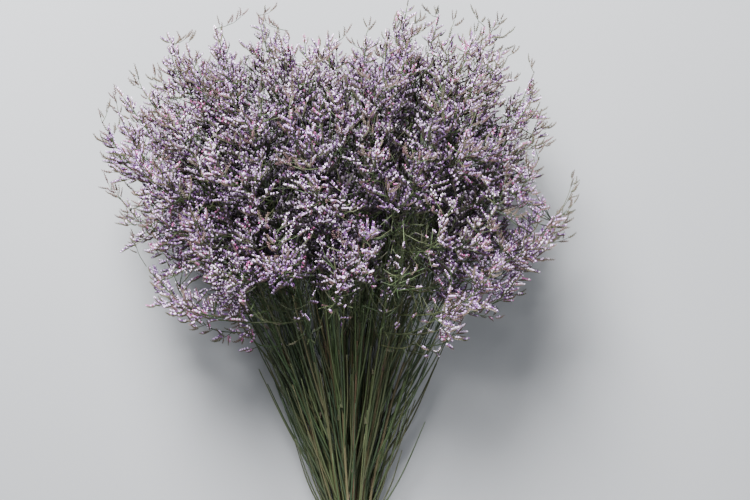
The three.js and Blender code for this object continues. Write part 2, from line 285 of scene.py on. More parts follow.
class Taken:
    """What is already there, as straight tapered pieces."""

    def __init__(self, room=6000):
        self.start = np.zeros((room, 3))
        self.way = np.zeros((room, 3))
        self.radius = np.zeros((room, 2))
        self.owner = np.zeros(room, int)
        self.is_root = np.zeros(room, bool)
        self.count = 0

    def add(self, owner, points, radii, roots):
        for k in range(1, len(points)):
            n = self.count
            self.start[n] = points[k - 1]
            self.way[n] = points[k] - points[k - 1]
            self.radius[n] = (radii[k - 1], radii[k])
            self.owner[n] = owner
            self.is_root[n] = k <= roots
            self.count += 1

    def clears(self, owner, a, b, ra, rb, is_root):
        """Nothing runs through another piece, but roots may pass close on one stem."""
        n = self.count
        u = b - a
        v = self.way[:n]
        w = a - self.start[:n]
        uu = u @ u
        uv = v @ u
        vv = (v * v).sum(1)
        uw = w @ u
        vw = (v * w).sum(1)
        across = uu * vv - uv * uv
        skew = across > 1e-9 * uu * vv
        s = np.where(skew, (uv * vw - vv * uw) / np.where(skew, across, 1), 0).clip(0, 1)
        t = ((uv * s + vw) / vv).clip(0, 1)
        s = ((uv * t - uw) / uu).clip(0, 1)
        apart = np.linalg.norm(w + u * s[:, None] - v * t[:, None], axis=1)
        theirs = self.radius[:n, 0] + (self.radius[:n, 1] - self.radius[:n, 0]) * t
        both = ra + (rb - ra) * s + theirs
        own = self.owner[:n] == owner
        free = own & (is_root | self.is_root[:n])
        near = np.where(own, CLEARANCE["own"] * both, CLEARANCE["share"] * both + CLEARANCE["gap"])
        return bool(np.all(free | (apart > near)))


def spread_point(i):
    """Point number i of a spread of points that fills the box round the head evenly."""
    spread = np.array([evenly(i, 2), evenly(i, 3), evenly(i, 5)])
    return spread * (HEAD_HIGH - HEAD_LOW) + HEAD_LOW


def branch_tip(i):
    """Point number i of the spread, if it is one of those wanted for the tips of branches."""
    p = spread_point(i)
    depth = depth_in_head(p)
    chance = FILLED["inside"] if depth < FILLED["thick"] else 1
    if p[2] < UNDERSIDE["below"]:
        chance *= UNDERSIDE["share"]
    wanted = FILLED["from"] < depth < 1 and seeded(SEED["tips"] + i)() < chance
    return p if wanted else None


def leaving_place(stem, p):
    """Where a branch for the point p leaves a stem, and how far that stem is from p."""
    length = stem.end - stem.branching
    steps = 24
    ys = [stem.branching + length * k / steps for k in range(steps + 1)]
    reach = [distance(stem.on_axis(y), p) for y in ys]
    k = int(np.argmin(reach))
    first = stem.branching + SPACING
    wish = max(first, ys[k] - reach[k])
    for step in range(12):
        y = wish + (-1 if step % 2 else 1) * math.ceil(step / 2) * 0.5 * SPACING
        apart = all(abs(y - other) > SPACING for other in stem.used)
        if first <= y < stem.end - SPACING and apart:
            return y, reach[k]
    return 0, math.inf


def try_to_grow(taken, stem, points, radii, roots):
    """Takes the room for a piece of the plant, unless something is in its way."""
    if any(p[2] < radius - 1e-6 for p, radius in zip(points, radii)):
        return False
    for k in range(1, len(points)):
        piece = (points[k - 1], points[k], radii[k - 1], radii[k], k <= roots)
        if not taken.clears(stem.i, *piece):
            return False
    taken.add(stem.i, points, radii, roots)
    return True


def spike_line(root, tip):
    return [lerp(root, tip, LARGE_SPIKE["belly_at"]), tip]


def try_to_grow_branch(taken, stem, y, p):
    """A side branch that arches from the stem and ends in a large spike with its tip at p."""
    at = stem.on_axis(y)
    last = unit(p - at) * 0.8 + UP * 0.5
    end = p - unit(last) * LARGE_SPIKE["length"]
    end[2] = max(end[2], LOWEST["end"])
    reach = distance(at, end)
    if reach < 2 * COMB["spacing"]:
        return None
    line = [at, end]
    if reach > BRANCH["straight"]:
        line.insert(1, lerp(at, end, 0.5) - UP * BRANCH["bulge"] * reach)
    flare = lerp(at, line[1], BRANCH["flare"] / distance(at, line[1]))
    points = [at, flare, *line[1:], *spike_line(end, p)]
    radii = [0] + [BRANCH["root"]] * len(line) + [LARGE_SPIKE["belly"], 0]
    radii[len(line)] = BRANCH["tip"]
    return line if try_to_grow(taken, stem, points, radii, 2) else None


def outwards(p, along):
    """The way from the middle of the head outwards, square to a given way."""
    out = p - HEAD_MIDDLE
    return unit(out - along * (out @ along))


def grow_spike(taken, stem, root, along, turn_degrees, random):
    """A large spike that leaves a line at root, turned and leaning away from the line."""
    out = outwards(root, along)
    aside = np.cross(along, out)
    turn = math.radians(turn_degrees + COMB["uneven_turn"] * (random() - 0.5))
    leaving = LEAVING["angle"] * (1 + LEAVING["uneven"] * (random() - 0.5))
    length = LARGE_SPIKE["length"] * (1 + LARGE_SPIKE["uneven"] * (random() - 0.6))
    way = along * math.cos(leaving)
    way = way + out * (math.sin(leaving) * math.cos(turn))
    way = way + aside * (math.sin(leaving) * math.sin(turn))
    tip = root + way * length
    tip[2] = max(tip[2], LOWEST["tip"])
    points = [root, *spike_line(root, tip)]
    radii = [0, LARGE_SPIKE["belly"], 0]
    in_head = depth_in_head(tip) < FRINGE and root[1] > SKIRT and tip[1] > SKIRT
    if in_head and try_to_grow(taken, stem, points, radii, 1):
        stem.spikes.append([root, tip])


def grow_comb(taken, stem, line, random):
    """Large spikes along the last part of a line, fanned out on its outer side."""
    before, end = line[-2:]
    along = unit(end - before)
    room = distance(before, end) - BRANCH["flare"]
    turned = -1 if random() < 0.5 else 1
    for k, turn in enumerate(COMB["fan"]):
        back = COMB["spacing"] * (k + 0.6 + 0.3 * random())
        if back <= room:
            grow_spike(taken, stem, end - along * back, along, turn * turned, random)


def grow_along_stem(taken, stem, random):
    """Single large spikes on the stem itself, between its branches."""
    start = stem.branching + ALONG_STEM["first"]
    count = math.floor((stem.end - ALONG_STEM["from_top"] - start) / ALONG_STEM["spacing"])
    for k in range(count + 1):
        y = start + k * ALONG_STEM["spacing"]
        root = stem.on_axis(y)
        along = unit(stem.on_axis(y + 1) - root)
        if all(abs(y - other) > 0.5 * SPACING for other in stem.used):
            grow_spike(taken, stem, root, along, COMB["fan"][k % len(COMB["fan"])], random)


def grow_branches(taken, stems):
    """Branches for evenly spread tips, each from the nearest stem that has room for it."""
    tips = []
    i = 0
    while len(tips) < BRANCH_COUNT and i + 1 < 40 * BRANCH_COUNT:
        i += 1
        p = branch_tip(i)
        if p is None or any(distance(other, p) < TIPS_APART for other in tips):
            continue
        near = [(stem, *leaving_place(stem, p)) for stem in stems]
        near.sort(key=lambda found: found[2])
        for stem, y, reach in near[:4]:
            line = try_to_grow_branch(taken, stem, y, p) if reach < BRANCH["longest"] else None
            if line:
                stem.used.append(y)
                stem.branches.append([*line, p])
                grow_comb(taken, stem, line, seeded(SEED["combs"] + i))
                tips.append(p)
                break


def grow_bunch():
    """All the stems with their branches and large spikes, as the solids have them."""
    stems = [Stem(i) for i in range(STEM_COUNT)]
    taken = Taken()
    for stem in stems:
        stalk = [stem_point(stem.place, stem.cut), *stem_line(stem.place, 0, stem.branching, 5)]
        taken.add(BARE, stalk, [STALK_RADIUS["cut"]] * len(stalk), 0)
        tip = stem_point(stem.place, stem.tip)
        points = [*stem.axis, *spike_line(stem.axis[-1], tip)]
        thinning = (AXIS["tip"] - AXIS["root"]) / AXIS["pieces"]
        radii = [AXIS["root"] + thinning * k for k in range(len(stem.axis))]
        taken.add(stem.i, points, [*radii, LARGE_SPIKE["belly"], 0], 0)
    for stem in stems:
        grow_comb(taken, stem, stem.axis, seeded(SEED["tops"] + stem.i))
    grow_branches(taken, stems)
    for stem in stems:
        grow_along_stem(taken, stem, seeded(SEED["along_stems"] + stem.i))
    return stems


class Pile:
    """Triangles heaped up for one mesh, with a colour at each point and a finish each."""

    def __init__(self):
        self.points = []
        self.faces = []
        self.tints = []
        self.finishes = []
        self.count = 0

    def add(self, points, faces, tints, finish):
        """Adds one closed shape. The finish is the place of its material in the mesh."""
        self.points.append(np.asarray(points, float).reshape(-1, 3))
        self.faces.append(np.asarray(faces, int).reshape(-1, 3) + self.count)
        self.tints.append(np.broadcast_to(tints, self.points[-1].shape))
        self.finishes.append(np.broadcast_to(finish, len(self.faces[-1])))
        self.count += len(self.points[-1])

    def arrays(self):
        """The points, faces, tints and finishes."""
        parts = (self.points, self.faces, self.tints, self.finishes)
        return [np.concatenate(part) for part in parts]

    def add_copies(self, shape, places, ways, sizes, palettes):
        """Adds copies of a shape, each turned, sized and in the colours of its palette.
        Local Y runs along the shape, Z is its upper side and its tints are shades."""
        points, faces, shades, finishes = shape
        turned = np.einsum("vk,nkc->nvc", points, ways)
        starts = np.arange(len(places)) * len(points)
        points = places[:, None, :] + sizes[:, None, None] * turned
        faces = faces[None] + starts[:, None, None]
        tints = palettes[:, shades[:, 0]].reshape(-1, 3)
        self.add(points, faces, tints, np.tile(finishes, len(places)))

    def piece(self, name, materials, shift, smooth):
        """The mesh object, in metres, moved to the solids' frame and kept above the floor.
        Smooth is the finish that is shaded as round."""
        points, faces, tints, finishes = self.arrays()
        points[:, 2] = points[:, 2].clip(LOWEST_POINT, None)
        points = (points + shift) * MM
        mesh = bpy.data.meshes.new(name)
        mesh.vertices.add(len(points))
        mesh.vertices.foreach_set("co", points.astype(np.float32).ravel())
        mesh.loops.add(3 * len(faces))
        mesh.loops.foreach_set("vertex_index", faces.astype(np.int32).ravel())
        mesh.polygons.add(len(faces))
        mesh.polygons.foreach_set("loop_start", np.arange(0, 3 * len(faces), 3, dtype=np.int32))
        mesh.polygons.foreach_set("material_index", finishes.astype(np.int32))
        mesh.polygons.foreach_set("use_smooth", finishes == smooth)
        rgba = np.column_stack([tints, np.ones(len(tints))])
        layer = mesh.attributes.new("tint", "FLOAT_COLOR", "POINT")
        layer.data.foreach_set("color", rgba.astype(np.float32).ravel())
        for material in materials:
            mesh.materials.append(material)
        mesh.update(calc_edges=True)
        piece = bpy.data.objects.new(name, mesh)
        bpy.context.scene.collection.objects.link(piece)
        return piece


def smooth_line(points, step):
    """A smooth curve through a few points, as points about a step apart."""
    points = np.array(points)
    gaps = np.linalg.norm(np.diff(points, axis=0), axis=1)
    at = np.concatenate([[0], np.cumsum(gaps)])
    slopes = np.gradient(points, at, axis=0)
    s = np.linspace(0, at[-1], max(2, round(at[-1] / step)) + 1)
    k = np.clip(np.searchsorted(at, s, side="right") - 1, 0, len(gaps) - 1)
    h = gaps[k][:, None]
    t = ((s - at[k]) / gaps[k])[:, None]
    start = (1 + 2 * t) * (1 - t) ** 2 * points[k] + t * (1 - t) ** 2 * h * slopes[k]
    stop = t * t * (3 - 2 * t) * points[k + 1] + t * t * (t - 1) * h * slopes[k + 1]
    return start + stop


def length_of(line):
    return np.linalg.norm(np.diff(line, axis=0), axis=1).sum()


def spot_on(line, share):
    """The point at a share of a curve from its root, and the way the curve runs there."""
    at = share * (len(line) - 1)
    k = min(int(at), len(line) - 2)
    return lerp(line[k], line[k + 1], at - k), unit(line[k + 1] - line[k])


def leaning_way(along, out, lean, turn):
    """The way of what leans away from a line that runs along, turned round it from out."""
    aside = np.cross(along, out)
    way = along * math.cos(lean)
    return way + (out * math.cos(turn) + aside * math.sin(turn)) * math.sin(lean)


def cut_back(line, amount):
    """A curve without its last stretch."""
    at = np.concatenate([[0], np.cumsum(np.linalg.norm(np.diff(line, axis=0), axis=1))])
    keep = max(at[-1] - amount, 0.2 * at[-1])
    k = int(np.searchsorted(at, keep))
    end = lerp(line[k - 1], line[k], (keep - at[k - 1]) / (at[k] - at[k - 1]))
    return np.vstack([line[:k], end])


def bowed(root, tip, bow, step):
    """A curve from root to tip that hangs through a little and turns up at its end."""
    middle = lerp(root, tip, 0.5) + bow
    return smooth_line([root, middle, tip], step)


def ways_across(points):
    """Two ways square to a curve, and to each other, at each of its points."""
    along = np.gradient(points, axis=0)
    along /= np.linalg.norm(along, axis=1)[:, None]
    side = np.array([0.0, 0.0, -1.0])
    sides = np.empty_like(points)
    for k, way in enumerate(along):
        side = unit(side - way * (side @ way))
        sides[k] = side
    return sides, np.cross(along, sides)


def wall_faces(rings, count, closed):
    """The faces between each ring of points and the next, in a closed loop or a line."""
    i = np.arange(rings if closed else rings - 1)[:, None]
    j = np.arange(count)
    a = i * count + j
    b = i * count + (j + 1) % count
    on = ((i + 1) % rings - i) * count
    return np.stack([a, b, b + on, a, b + on, a + on], -1).reshape(-1, 3)


def tube(points, radii, count):
    """A closed tube with a number of sides. Returns its points and faces."""
    sides, others = ways_across(points)
    angles = (2 * math.pi * np.arange(count) / count)[None, :, None]
    radii = np.asarray(radii).reshape(len(points), -1, 1)
    ring = np.cos(angles) * sides[:, None] + np.sin(angles) * others[:, None]
    skin = points[:, None] + radii * ring
    vertices = np.concatenate([skin.reshape(-1, 3), points[:1], points[-1:]])
    walls = wall_faces(len(points), count, closed=False)
    j = np.arange(count)
    after = (j + 1) % count
    first = len(vertices) - 2
    top = (len(points) - 1) * count
    start = np.stack([np.full(count, first), after, j], -1)
    stop = np.stack([np.full(count, first + 1), top + j, top + after], -1)
    return vertices, np.concatenate([walls, start, stop])


def spindle(points, radius):
    """A closed three-sided body along a curve, pointed at both ends."""
    sides, others = ways_across(points)
    angles = [0, 2 * math.pi / 3, 4 * math.pi / 3]
    vertices = [points[0]]
    for k in range(1, len(points) - 1):
        for a in angles:
            out = sides[k] * math.cos(a) + others[k] * math.sin(a)
            vertices.append(points[k] + radius * out)
    vertices.append(points[-1])
    last = len(vertices) - 1
    faces = []
    for j, after in ((0, 1), (1, 2), (2, 0)):
        faces.append([0, 1 + after, 1 + j])
        for ring in range(1, last - 3, 3):
            a, b = ring + j, ring + after
            faces += [[a, b, b + 3], [a, b + 3, a + 3]]
        faces.append([last, last - 3 + j, last - 3 + after])
    return vertices, faces


# The finishes of a spray's mesh, in the order of its materials
PETAL = 0
SCALE = 1
TWIG = 2

# The finishes of a stalk's mesh, in the order of its materials
STALK_SKIN = 0
STALK_LEAF = 1

# The shades of a real spike's palette
BRIGHT_RIM = 0
DULL_RIM = 1
THROAT = 2
CALYX = 3
BRACT_BODY = 4
BRACT_TIP = 5
SPIKE_BODY = 6


def shaded(*shades):
    """Shades of a palette, one for each point, in place of tints."""
    return np.array(shades)[:, None]


def fan_of_ways(way, count, turn):
    """Ways square to a given way, evenly round it."""
    side = unit(np.cross(way, ASKEW))
    other = np.cross(way, side)
    angles = [turn + 2 * math.pi * k / count for k in range(count)]
    return [side * math.cos(a) + other * math.sin(a) for a in angles]


def rim_shade(random):
    return BRIGHT_RIM if random() < BRIGHT_SHARE else DULL_RIM


def nearly(size, random):
    return size * (0.85 + 0.3 * random())


def double_cone(count):
    """The faces between a first point, a ring of points and a last point."""
    faces = []
    for k in range(count):
        after = (k + 1) % count
        faces += [[0, 1 + after, 1 + k], [count + 1, 1 + k, 1 + after]]
    return faces


def add_floret(shape, at, way, size, random):
    """An open papery flower: a four-pointed funnel with a sunken throat."""
    length = nearly(FLORET["length"] * size, random)
    mouth = nearly(FLORET["mouth"] * size, random)
    ring = [
        at + way * length * (0.9 + 0.25 * random()) + out * mouth
        for out in fan_of_ways(way, 4, 2 * random())
    ]
    points = [at, *ring, at + way * length * FLORET["throat"]]
    shape.add(points, double_cone(4), shaded(CALYX, *[rim_shade(random)] * 4, THROAT), PETAL)


def add_plain_floret(shape, at, way, size, random):
    """A flower deep in the head: a three-sided funnel."""
    length = nearly(FLORET["length"] * size, random)
    ways = fan_of_ways(way, 3, 2 * random())
    ring = [at + way * length + out * FLORET["mouth"] * size for out in ways]
    faces = [[0, 2, 1], [0, 3, 2], [0, 1, 3], [1, 2, 3]]
    shape.add([at, *ring], faces, shaded(CALYX, *[rim_shade(random)] * 3), PETAL)


def add_bud(shape, at, way, size, random):
    """A closed flower: a slim three-sided bud with a coloured tip."""
    length = nearly(BUD["length"] * size, random)
    ways = fan_of_ways(way, 3, random())
    ring = [at + way * length * 0.45 + out * BUD["radius"] * size for out in ways]
    points = [at, *ring, at + way * length]
    shape.add(points, double_cone(3), shaded(CALYX, *[BRACT_BODY] * 3, BRACT_TIP), SCALE)


def add_bract(shape, at, way, size):
    """The pointed scale under a flower."""
    ring = [at + out * BRACT["radius"] * size for out in fan_of_ways(way, 3, 0.4)]
    points = [*ring, at + way * BRACT["length"] * size]
    faces = [[0, 2, 1], [0, 1, 3], [1, 2, 3], [2, 0, 3]]
    shape.add(points, faces, shaded(*[BRACT_BODY] * 3, BRACT_TIP), SCALE)


def ways_in_spike(bend, t):
    """The way along a bent spike and its upper side, at the share t of its length."""
    angle = bend * (t - SPIKE_FORM["straight_at"])
    along = np.array([0, math.cos(angle), math.sin(angle)])
    return along, np.array([0, -math.sin(angle), math.cos(angle)])


def spine_of_spike(bend, steps):
    """The middle line of a bent spike, from the origin on."""
    spine = [np.zeros(3)]
    for k in range(steps):
        along, _ = ways_in_spike(bend, (k + 0.5) / steps)
        spine.append(spine[-1] + along * REAL_SPIKE["length"] / steps)
    return np.array(spine)


def real_spike(count, bend, opened, random, plain):
    """A spike with flowers in two rows on its upper side. Opened is the share of its
    flowers that are open, from its root on."""
    shape = Pile()
    steps = 2 if plain else 3
    spine = spine_of_spike(bend, steps)
    body, faces = spindle(spine, BODY if opened else CLOSED_BODY)
    shape.add(body, faces, SPIKE_BODY, SCALE)
    bare = SPIKE_FORM["bare"]
    for k in range(count):
        t = bare + (1 - bare) * (k + 0.5) / count
        at = np.array([np.interp(t * steps, range(steps + 1), spine[:, c]) for c in range(3)])
        along, upper = ways_in_spike(bend, t)
        side = np.array([1.0 if k % 2 else -1.0, 0, 0])
        size = FLOWER_SIZE["first"] - FLOWER_SIZE["less"] * t * t
        way = upper * 0.8 + side * 0.4 + along * 0.5
        uneven = np.array([random(), random(), random()]) - 0.5
        way = unit(way + SPIKE_FORM["uneven"] * uneven)
        if plain:
            add_plain_floret(shape, at, way, size, random)
        elif (k + random()) / count < opened:
            add_floret(shape, at, way, size, random)
        else:
            add_bud(shape, at, way, size, random)
        if k % 2 and not plain:
            add_bract(shape, at, unit(along * 0.75 + side * 0.4 - upper * 0.4), size)
    return shape.arrays()


def make_shapes():
    """The real spikes that are copied, a few of each kind, each bent more than the last."""
    random = seeded(FINE_SEEDS["shapes"])
    shapes = {}
    for kind, (count, flowers, opened, bend, more) in SPIKE_KINDS.items():
        plain = kind == "inner"
        shapes[kind] = [
            real_spike(flowers, bend + more * k, opened, random, plain) for k in range(count)
        ]
    return shapes


def linear(r, g, b):
    """A colour as it shows, 0 to 255, as the light it stands for."""
    shown = np.array([r, g, b]) / 255
    return np.where(shown < 0.04045, shown / 12.92, ((shown + 0.055) / 1.055) ** 2.4)


# The colours of the flowers, of what bears them, of the band and of the floor
PALE = linear(250, 234, 255)
LILAC = linear(190, 144, 218)
MAUVE = linear(127, 80, 147)
PINK = linear(178, 82, 148)
PURPLE = linear(79, 44, 95)
CALYX_BROWN = linear(88, 68, 75)
CALYX_GREEN = linear(75, 80, 55)
SCALE_OLIVE = linear(64, 60, 44)
SCALE_BROWN = linear(78, 57, 57)
SCALE_GREY = linear(57, 66, 48)
TIP_PINK = linear(127, 64, 96)
TIP_PALE = linear(100, 98, 82)
TWIG_GREEN = linear(44, 62, 32)
TWIG_DARK = linear(26, 39, 23)
TWIG_BROWN = linear(75, 59, 44)
CUT_TINT = linear(170, 159, 118)
BAND_TINT = linear(166, 127, 86)
FLOOR_DARK = linear(105, 107, 110)
FLOOR_PALE = linear(111, 113, 116)


def bare_front(p):
    """Whether a point is where the stems show, with hardly a flower in front of them."""
    return any(
        left < p[0] < right and p[1] < top and p[2] > bottom
        for left, right, top, bottom in BARE_PARTS
    )


def in_green_patch(p):
    """Whether a point is in a part of the head where no flower has opened yet."""
    apart = [math.hypot(p[0] - x, p[1] - y) for x, y in GREEN_PATCHES]
    return p[2] > GREEN_PATCH["above"] and min(apart) < GREEN_PATCH["radius"]


def greenness(p, depth):
    """How green the spikes are: more at the edge and in the upper right of the head."""
    edge = max(0, (depth - GREEN_EDGE["from"]) * GREEN_EDGE["slope"])
    corner = (p[0] + p[1] - GREEN_CORNER["from"]) / GREEN_CORNER["width"]
    return min(1, edge + GREEN_CORNER["share"] * max(0, min(1, corner)))


def kind_at(p, depth, green, draw):
    """Which kind of real spike grows at a place, by a draw from 0 to 1."""
    if depth < CORE or p[2] < UNDERNEATH:
        return "inner"
    if in_green_patch(p) or draw < CLOSED_SHARE["least"] + CLOSED_SHARE["more"] * green:
        return "closed"
    unopened = UNOPENED_SHARE["least"] + UNOPENED_SHARE["more"] * green
    return "half" if draw < unopened else "open"


def faded_at(p):
    """How far the flowers at a place have faded, in soft patches."""
    wave = math.sin(p[0] / FADED["x"]) * math.cos(p[1] / FADED["y"])
    return max(0, min(1, FADED["middle"] + FADED["swing"] * wave))


def painted_depth_shade(depth):
    """How dark the colours are painted deep in the head: painted shade for the shade inside the
    dense head.
    """
    shade = 1 - (INNER_PAINTED_SHADE["from"] - depth) * INNER_PAINTED_SHADE["slope"]
    return np.clip(shade, INNER_PAINTED_SHADE["least"], 1)


def palette(random, faded, green):
    """The shades of one real spike. Faded ones are paler, green ones not yet open."""
    dull = lerp(PURPLE, MAUVE, random())
    if random() < PINK_SHARE:
        dull = PINK
    bright = lerp(LILAC, PALE, min(1, 0.3 + faded * (0.2 + 0.9 * random())))
    calyx = lerp(CALYX_BROWN, CALYX_GREEN, random())
    scale = lerp(lerp(SCALE_OLIVE, SCALE_BROWN, random()), SCALE_GREY, green * random())
    tip = lerp(TIP_PALE, TIP_PINK, random() * (1 - 0.6 * green))
    body = lerp(scale, TWIG_GREEN, 0.5 * random())
    return [bright, dull, PURPLE, calyx, scale, tip, body]


class Spray:
    """Collects one stem's flowers, and the twigs that bear them."""

    def __init__(self, shapes, seed):
        self.pile = Pile()
        self.shapes = shapes
        self.random = seeded(seed)
        self.curves = []
        self.copies = {}

    def uneven(self, amount):
        return 1 + amount * (2 * self.random() - 1)

    def bear(self, line, radii, sides, tint):
        """A green twig or branch along a curve, thinner at its end."""
        reach = np.linspace(0, 1, len(line))
        radius = radii[0] + (radii[1] - radii[0]) * reach
        skin, faces = tube(line, radius[:, None], sides)
        self.pile.add(skin, faces, tint, TWIG)

    def twig_tint(self):
        return lerp(lerp(TWIG_GREEN, TWIG_DARK, self.random()), TWIG_BROWN, 0.3 * self.random())

    def nearest(self, p):
        """The point of this stem's own branches that is nearest to p."""
        near = [curve[np.argmin(((curve - p) ** 2).sum(1))] for curve in self.curves]
        return min(near, key=lambda q: distance(p, q))

    def flower(self, root, way, upper, size, kind=None):
        """One real spike from root along a way, of a kind that suits its place."""
        bare = bare_front(root)
        if bare and self.random() < BARE_FRONT["missing"]:
            return
        depth = depth_in_head(root)
        green = greenness(root, depth)
        draw = self.random()
        if kind is None:
            kind = kind_at(root, depth, green, draw)
        number = int(self.random() * len(self.shapes[kind]))
        upper = unit(upper - way * (upper @ way))
        side = np.cross(way, upper)
        if kind == "inner" and depth < CORE:
            size *= INNER_SIZE
        if bare:
            size *= BARE_FRONT["size"]
        # The palette is darkened with depth in the head as painted shade.
        shades = np.array(palette(self.random, faded_at(root), green)) * painted_depth_shade(depth)
        if kind == "closed":
            shades = shades * CLOSED_SHADE
        copy = (root, (side, way, upper), size, shades)
        self.copies.setdefault((kind, number), []).append(copy)

    def lateral(self, line, share, turn, size, kind):
        """A real spike that leaves a curve at a share of its length."""
        root, along = spot_on(line, share)
        lift = outwards(root, along) * 0.6 + UP * 0.7
        lift = unit(lift - along * (lift @ along))
        way = leaning_way(along, lift, REAL_SPIKE["lean"] * self.uneven(0.25), turn)
        upper = lift * 0.3 + UP + 0.5 * (np.array([self.random() for _ in "xyz"]) - 0.5)
        self.flower(root, unit(way), upper, size, kind)

    def dress(self, line, bare, spacing=REAL_SPIKE["spacing"], kind=None):
        """Real spikes along a curve from its bare part on, and one at its end."""
        length = length_of(line)
        sunk = REAL_SPIKE["sunk"] * REAL_SPIKE["length"]
        s = bare
        turned = 1 if self.random() < 0.5 else -1
        while s < length - sunk:
            turn = turned * REAL_SPIKE["turn"] * self.uneven(0.4)
            size = (1.02 - 0.25 * s / length) * self.uneven(0.18)
            self.lateral(line, s / length, turn, size, kind)
            turned = -turned
            s += spacing * self.uneven(0.25)
        end = cut_back(line, sunk)[-1]
        way = unit(line[-1] - end)
        lift = outwards(end, way) * 0.3 + UP
        self.flower(end, way, lift, 0.95 * self.uneven(0.12), kind)

    def bear_short(self, line, radii, sides):
        """A branch or twig that stops inside the real spike at its end."""
        short = cut_back(line, REAL_SPIKE["twig_stops"] * REAL_SPIKE["length"])
        self.bear(short, radii, sides, self.twig_tint())

    def bear_and_dress(self, line, bare):
        self.bear_short(line, TWIG_RADIUS, sides=3)
        self.dress(line, bare)

    def leave(self, line, share, form, uneven_lean, uneven_length):
        """Where a twig leaves a curve, its tip, and the way outwards at its root."""
        root, along = spot_on(line, share)
        turn = 2 * math.pi * self.random()
        out = outwards(root, along)
        way = leaning_way(along, out, form["lean"] * self.uneven(uneven_lean), turn)
        return root, root + way * form["length"] * self.uneven(uneven_length), out

    def short_twigs(self, line, spacing):
        """Short twigs with two or three real spikes, along a branch."""
        length = length_of(line)
        s = SHORT_TWIG["first"]
        while s < length - LARGE_SPIKE["length"] * 0.6:
            root, tip, _ = self.leave(line, s / length, SHORT_TWIG, 0.2, 0.2)
            twig = bowed(root, tip, -UP * SHORT_TWIG["bow"], step=10)
            self.bear_and_dress(twig, SHORT_TWIG["bare"])
            s += spacing * self.uneven(0.3)

    def bear_wire(self, line):
        # Painted shade: the twig colour is darkened for the shade inside the head
        self.bear(line, WIRE["radius"], sides=3, tint=self.twig_tint() * WIRE["shade"])

    def wires(self, line, spacing):
        """Thin green branchlets without flowers that fill the head behind its flowers."""
        length = length_of(line)
        s = WIRE["first"]
        while s < 0.75 * length:
            root, tip, out = self.leave(line, s / length, WIRE, 0.5, 0.35)
            if tip[2] > WIRE["lowest"] and depth_in_head(tip) < WIRE["reach"]:
                bow = -UP * 5 * self.random() - out * 3 * self.random()
                self.bear_wire(bowed(root, tip, bow, step=16))
            s += spacing * self.uneven(0.4)

    def grow(self, stem):
        """The axis, its branches, the short twigs on them, and the twigs of the large spikes."""
        axis = smooth_line([*stem.axis, stem_point(stem.place, stem.tip)], step=9)
        self.curves.append(axis)
        self.bear_short(axis, AXIS_RADIUS, sides=6)
        for points in stem.branches:
            root = axis[np.argmin(((axis - points[0]) ** 2).sum(1))]
            line = [root, *points[1:]]
            if len(line) == 3:
                hang = UP * 0.05 * distance(line[0], line[1])
                line.insert(1, lerp(line[0], line[1], 0.5) - hang)
            curve = smooth_line(line, step=8)
            self.curves.append(curve)
            self.bear_short(curve, BRANCH_RADIUS, sides=4)
        for k, curve in enumerate(self.curves):
            where = "on_branch" if k else "on_axis"
            self.short_twigs(curve, SHORT_TWIG[where])
            self.wires(curve, WIRE[where])
            self.dress(curve[-6:], bare=6)
        for root, tip in stem.spikes:
            near = self.nearest(root)
            length = distance(near, tip)
            bow = -UP * self.random() - 0.4 * outwards(near, unit(tip - near))
            twig = bowed(near, tip, bow * TWIG_BOW * length, step=10)
            self.bear_and_dress(twig, bare=0.2 * length)

    def fill(self, root, target):
        """A twig with plain flowers from root to target, inside the head."""
        reach = distance(root, target)
        bow = -UP * FILL["bow"] * reach * self.random()
        twig = bowed(root, target, bow, step=20)
        self.bear_wire(twig)
        bare = max(FILL["bare"] * reach, reach - FILL["dressed"])
        self.dress(twig, bare, FILL["spacing"], "inner")

    def sprig(self, root, target):
        """A slim twig with closed flowers that stands out of the head."""
        reach = distance(root, target)
        twig = bowed(root, target, -UP * SPRIG["bow"] * reach, step=12)
        self.bear_short(twig, TWIG_RADIUS, sides=3)
        bare = max(SPRIG["bare"] * reach, reach - SPRIG["dressed"])
        self.dress(twig, bare, SPRIG["spacing"], "closed")

    def heap(self):
        """Adds the real spikes to the pile, kind by kind."""
        for (kind, number), copies in sorted(self.copies.items(), key=lambda c: c[0]):
            places, ways, sizes, palettes = (np.array(part) for part in zip(*copies))
            self.pile.add_copies(self.shapes[kind][number], places, ways, sizes, palettes)
        return self.pile


def grow_evenly(sprays, limits, grow):
    """Twigs to evenly spread points of a layer of the head, each from the nearest branch."""
    places = np.concatenate([curve for spray in sprays for curve in spray.curves])
    owners = [spray for spray in sprays for curve in spray.curves for _ in curve]
    for i in range(1, limits["tries"]):
        target = spread_point(i)
        if not limits["from"] < depth_in_head(target) < limits["to"]:
            continue
        if target[2] < TARGET["lowest"] or target[1] < limits["above"]:
            continue
        apart = np.linalg.norm(places - target, axis=1)
        too_high = (places[:, 1] - target[1] + TARGET["above_root"]).clip(0, None)
        near = int(np.argmin(apart + TARGET["cost"] * too_high))
        if limits["shortest"] < apart[near] < limits["longest"]:
            grow(owners[near], places[near], target)


def add_shoots(pile, line, stem, random):
    """Thin green shoots that rise beside a stalk, those of outer stems leaning outwards."""
    for k in range(SHOOT["count"]):
        share = lerp(SHOOT["from"], SHOOT["to"], (k + random()) / SHOOT["count"])
        root = line[int(share * (len(line) - 1))]
        turn = 2 * math.pi * random()
        aside = math.cos(turn) + SHOOT["aside"] * stem.place[0]
        out = np.array([aside, 0, SHOOT["flatten"] * math.sin(turn)])
        length = SHOOT["length"] * (0.7 + 0.6 * random())
        spread = stem_point(stem.place, root[1] + length) - root
        tip = root + spread + out * length * (0.06 + 0.09 * random())
        shoot = bowed(root, tip, out * SHOOT["bow"], step=18)
        radii = np.linspace(*SHOOT["radius"], len(shoot))
        skin, faces = tube(shoot, radii[:, None], count=4)
        tint = lerp(lerp(TWIG_GREEN, TWIG_BROWN, 0.6 * random()), TWIG_DARK, random())
        pile.add(skin, faces, tint, STALK_SKIN)


